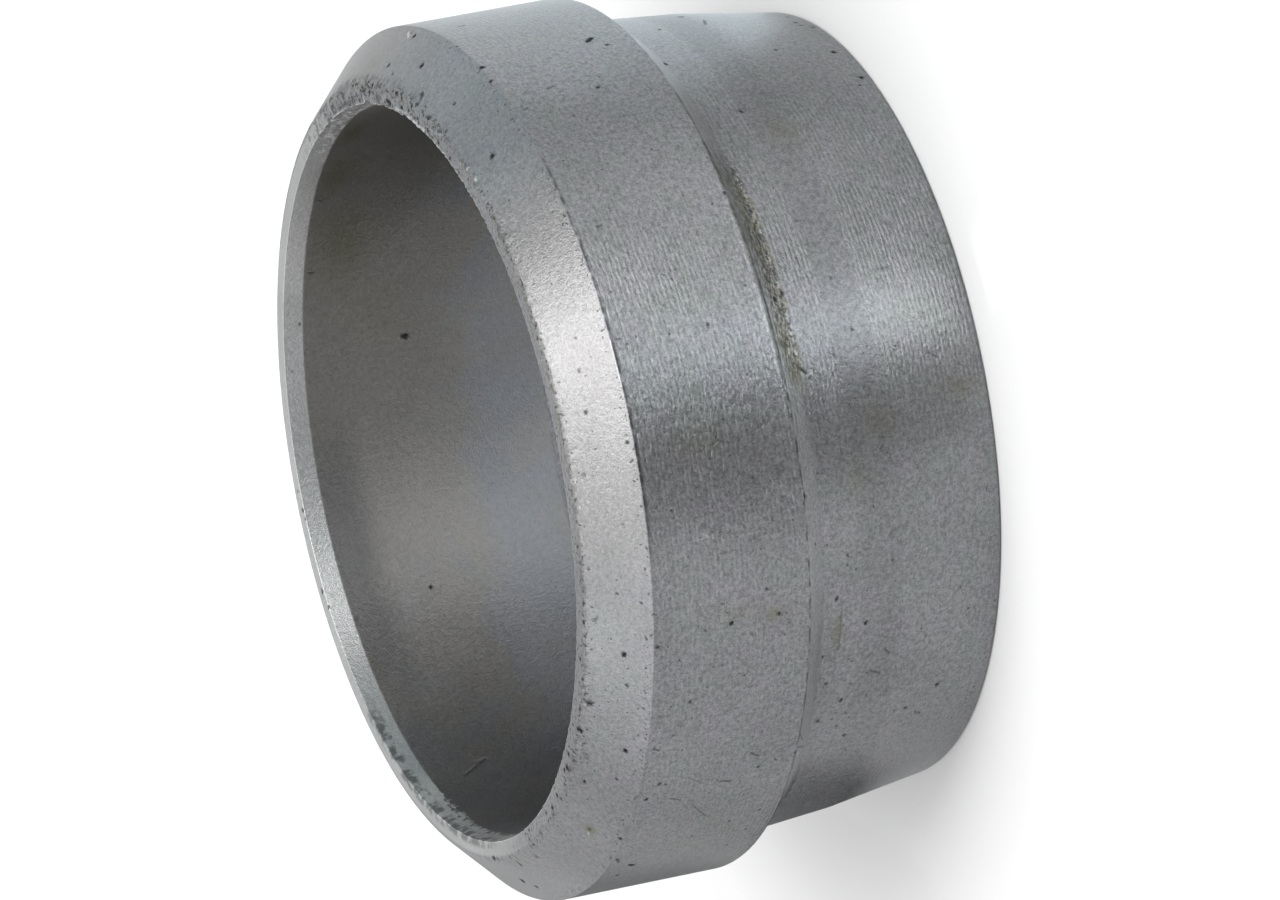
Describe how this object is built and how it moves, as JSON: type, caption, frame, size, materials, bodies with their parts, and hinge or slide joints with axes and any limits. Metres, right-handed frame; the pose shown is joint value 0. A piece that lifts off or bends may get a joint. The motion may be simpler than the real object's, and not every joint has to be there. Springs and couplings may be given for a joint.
{
  "type": "compression cutting ring",
  "caption": "Turned steel ring for a compression tube fitting: thick chamfered collar, stepped shoulder, thin tapered nose and plain bore with internal cutting edges.",
  "frame": {"origin": "centre of the cutting end's face, on the axis, at the lowest point of the part", "axes": "+Z along the axis, from the thin cutting end up to the thick rear end"},
  "size_m": [0.0241, 0.024, 0.0122],
  "materials": {
    "turned_steel": "bare turned steel, fine feed marks, a few pits and stains"
  },
  "bodies": {
    "root": {"cutting_ring": "turned_steel"}
  },
  "joints": []
}
